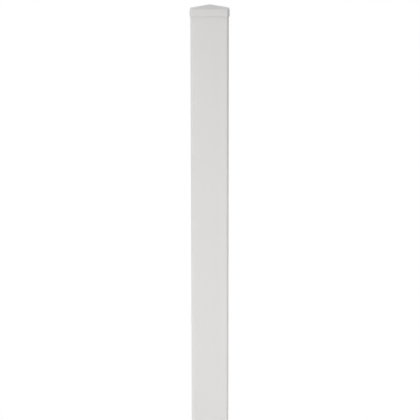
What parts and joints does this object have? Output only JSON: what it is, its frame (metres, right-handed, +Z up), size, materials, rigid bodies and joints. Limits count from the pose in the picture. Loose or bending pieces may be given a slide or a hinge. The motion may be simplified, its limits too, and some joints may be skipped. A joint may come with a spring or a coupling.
{
  "type": "fence post",
  "caption": "Hollow square PVC fence post with rounded corners, sawn ends and a low pyramid cap, set in the ground or over a core to carry fence panels, rails or a gate.",
  "frame": {"origin": "centre of the post's sawn foot", "axes": "+Z up along the post to the tip of the cap; X and Y square to the post's four sides"},
  "size_m": [0.1058, 0.1058, 1.8415],
  "materials": {
    "post_pvc": "satin",
    "cap_pvc": "satin"
  },
  "bodies": {
    "root": {"post": "post_pvc", "post_cap": "cap_pvc"}
  },
  "joints": []
}
